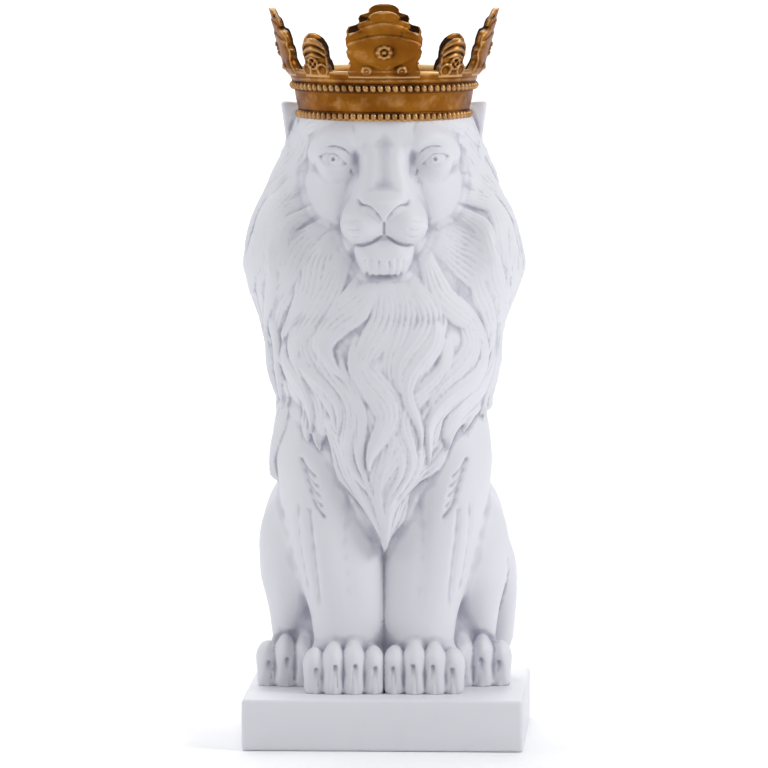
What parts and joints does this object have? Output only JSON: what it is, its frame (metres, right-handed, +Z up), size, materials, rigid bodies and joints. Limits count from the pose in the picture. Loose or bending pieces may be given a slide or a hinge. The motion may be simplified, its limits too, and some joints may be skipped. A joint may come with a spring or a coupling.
{
  "type": "lion statue",
  "caption": "Seated white resin lion with a full wavy mane, wearing a gold leaf crown and standing on a square plinth.",
  "frame": {"origin": "centre of the plinth's underside, which stands on the table", "axes": "+Z up; the lion looks toward -Y, turned a few degrees toward +X"},
  "size_m": [0.1331, 0.13, 0.341],
  "materials": {
    "white_resin": "white cast resin with a soft satin face",
    "gold_bronze": "cast resin painted gold bronze, dark in its recesses and pale on its edges"
  },
  "bodies": {
    "root": {"plinth": "white_resin", "lion": "white_resin", "crown": "gold_bronze"}
  },
  "joints": []
}
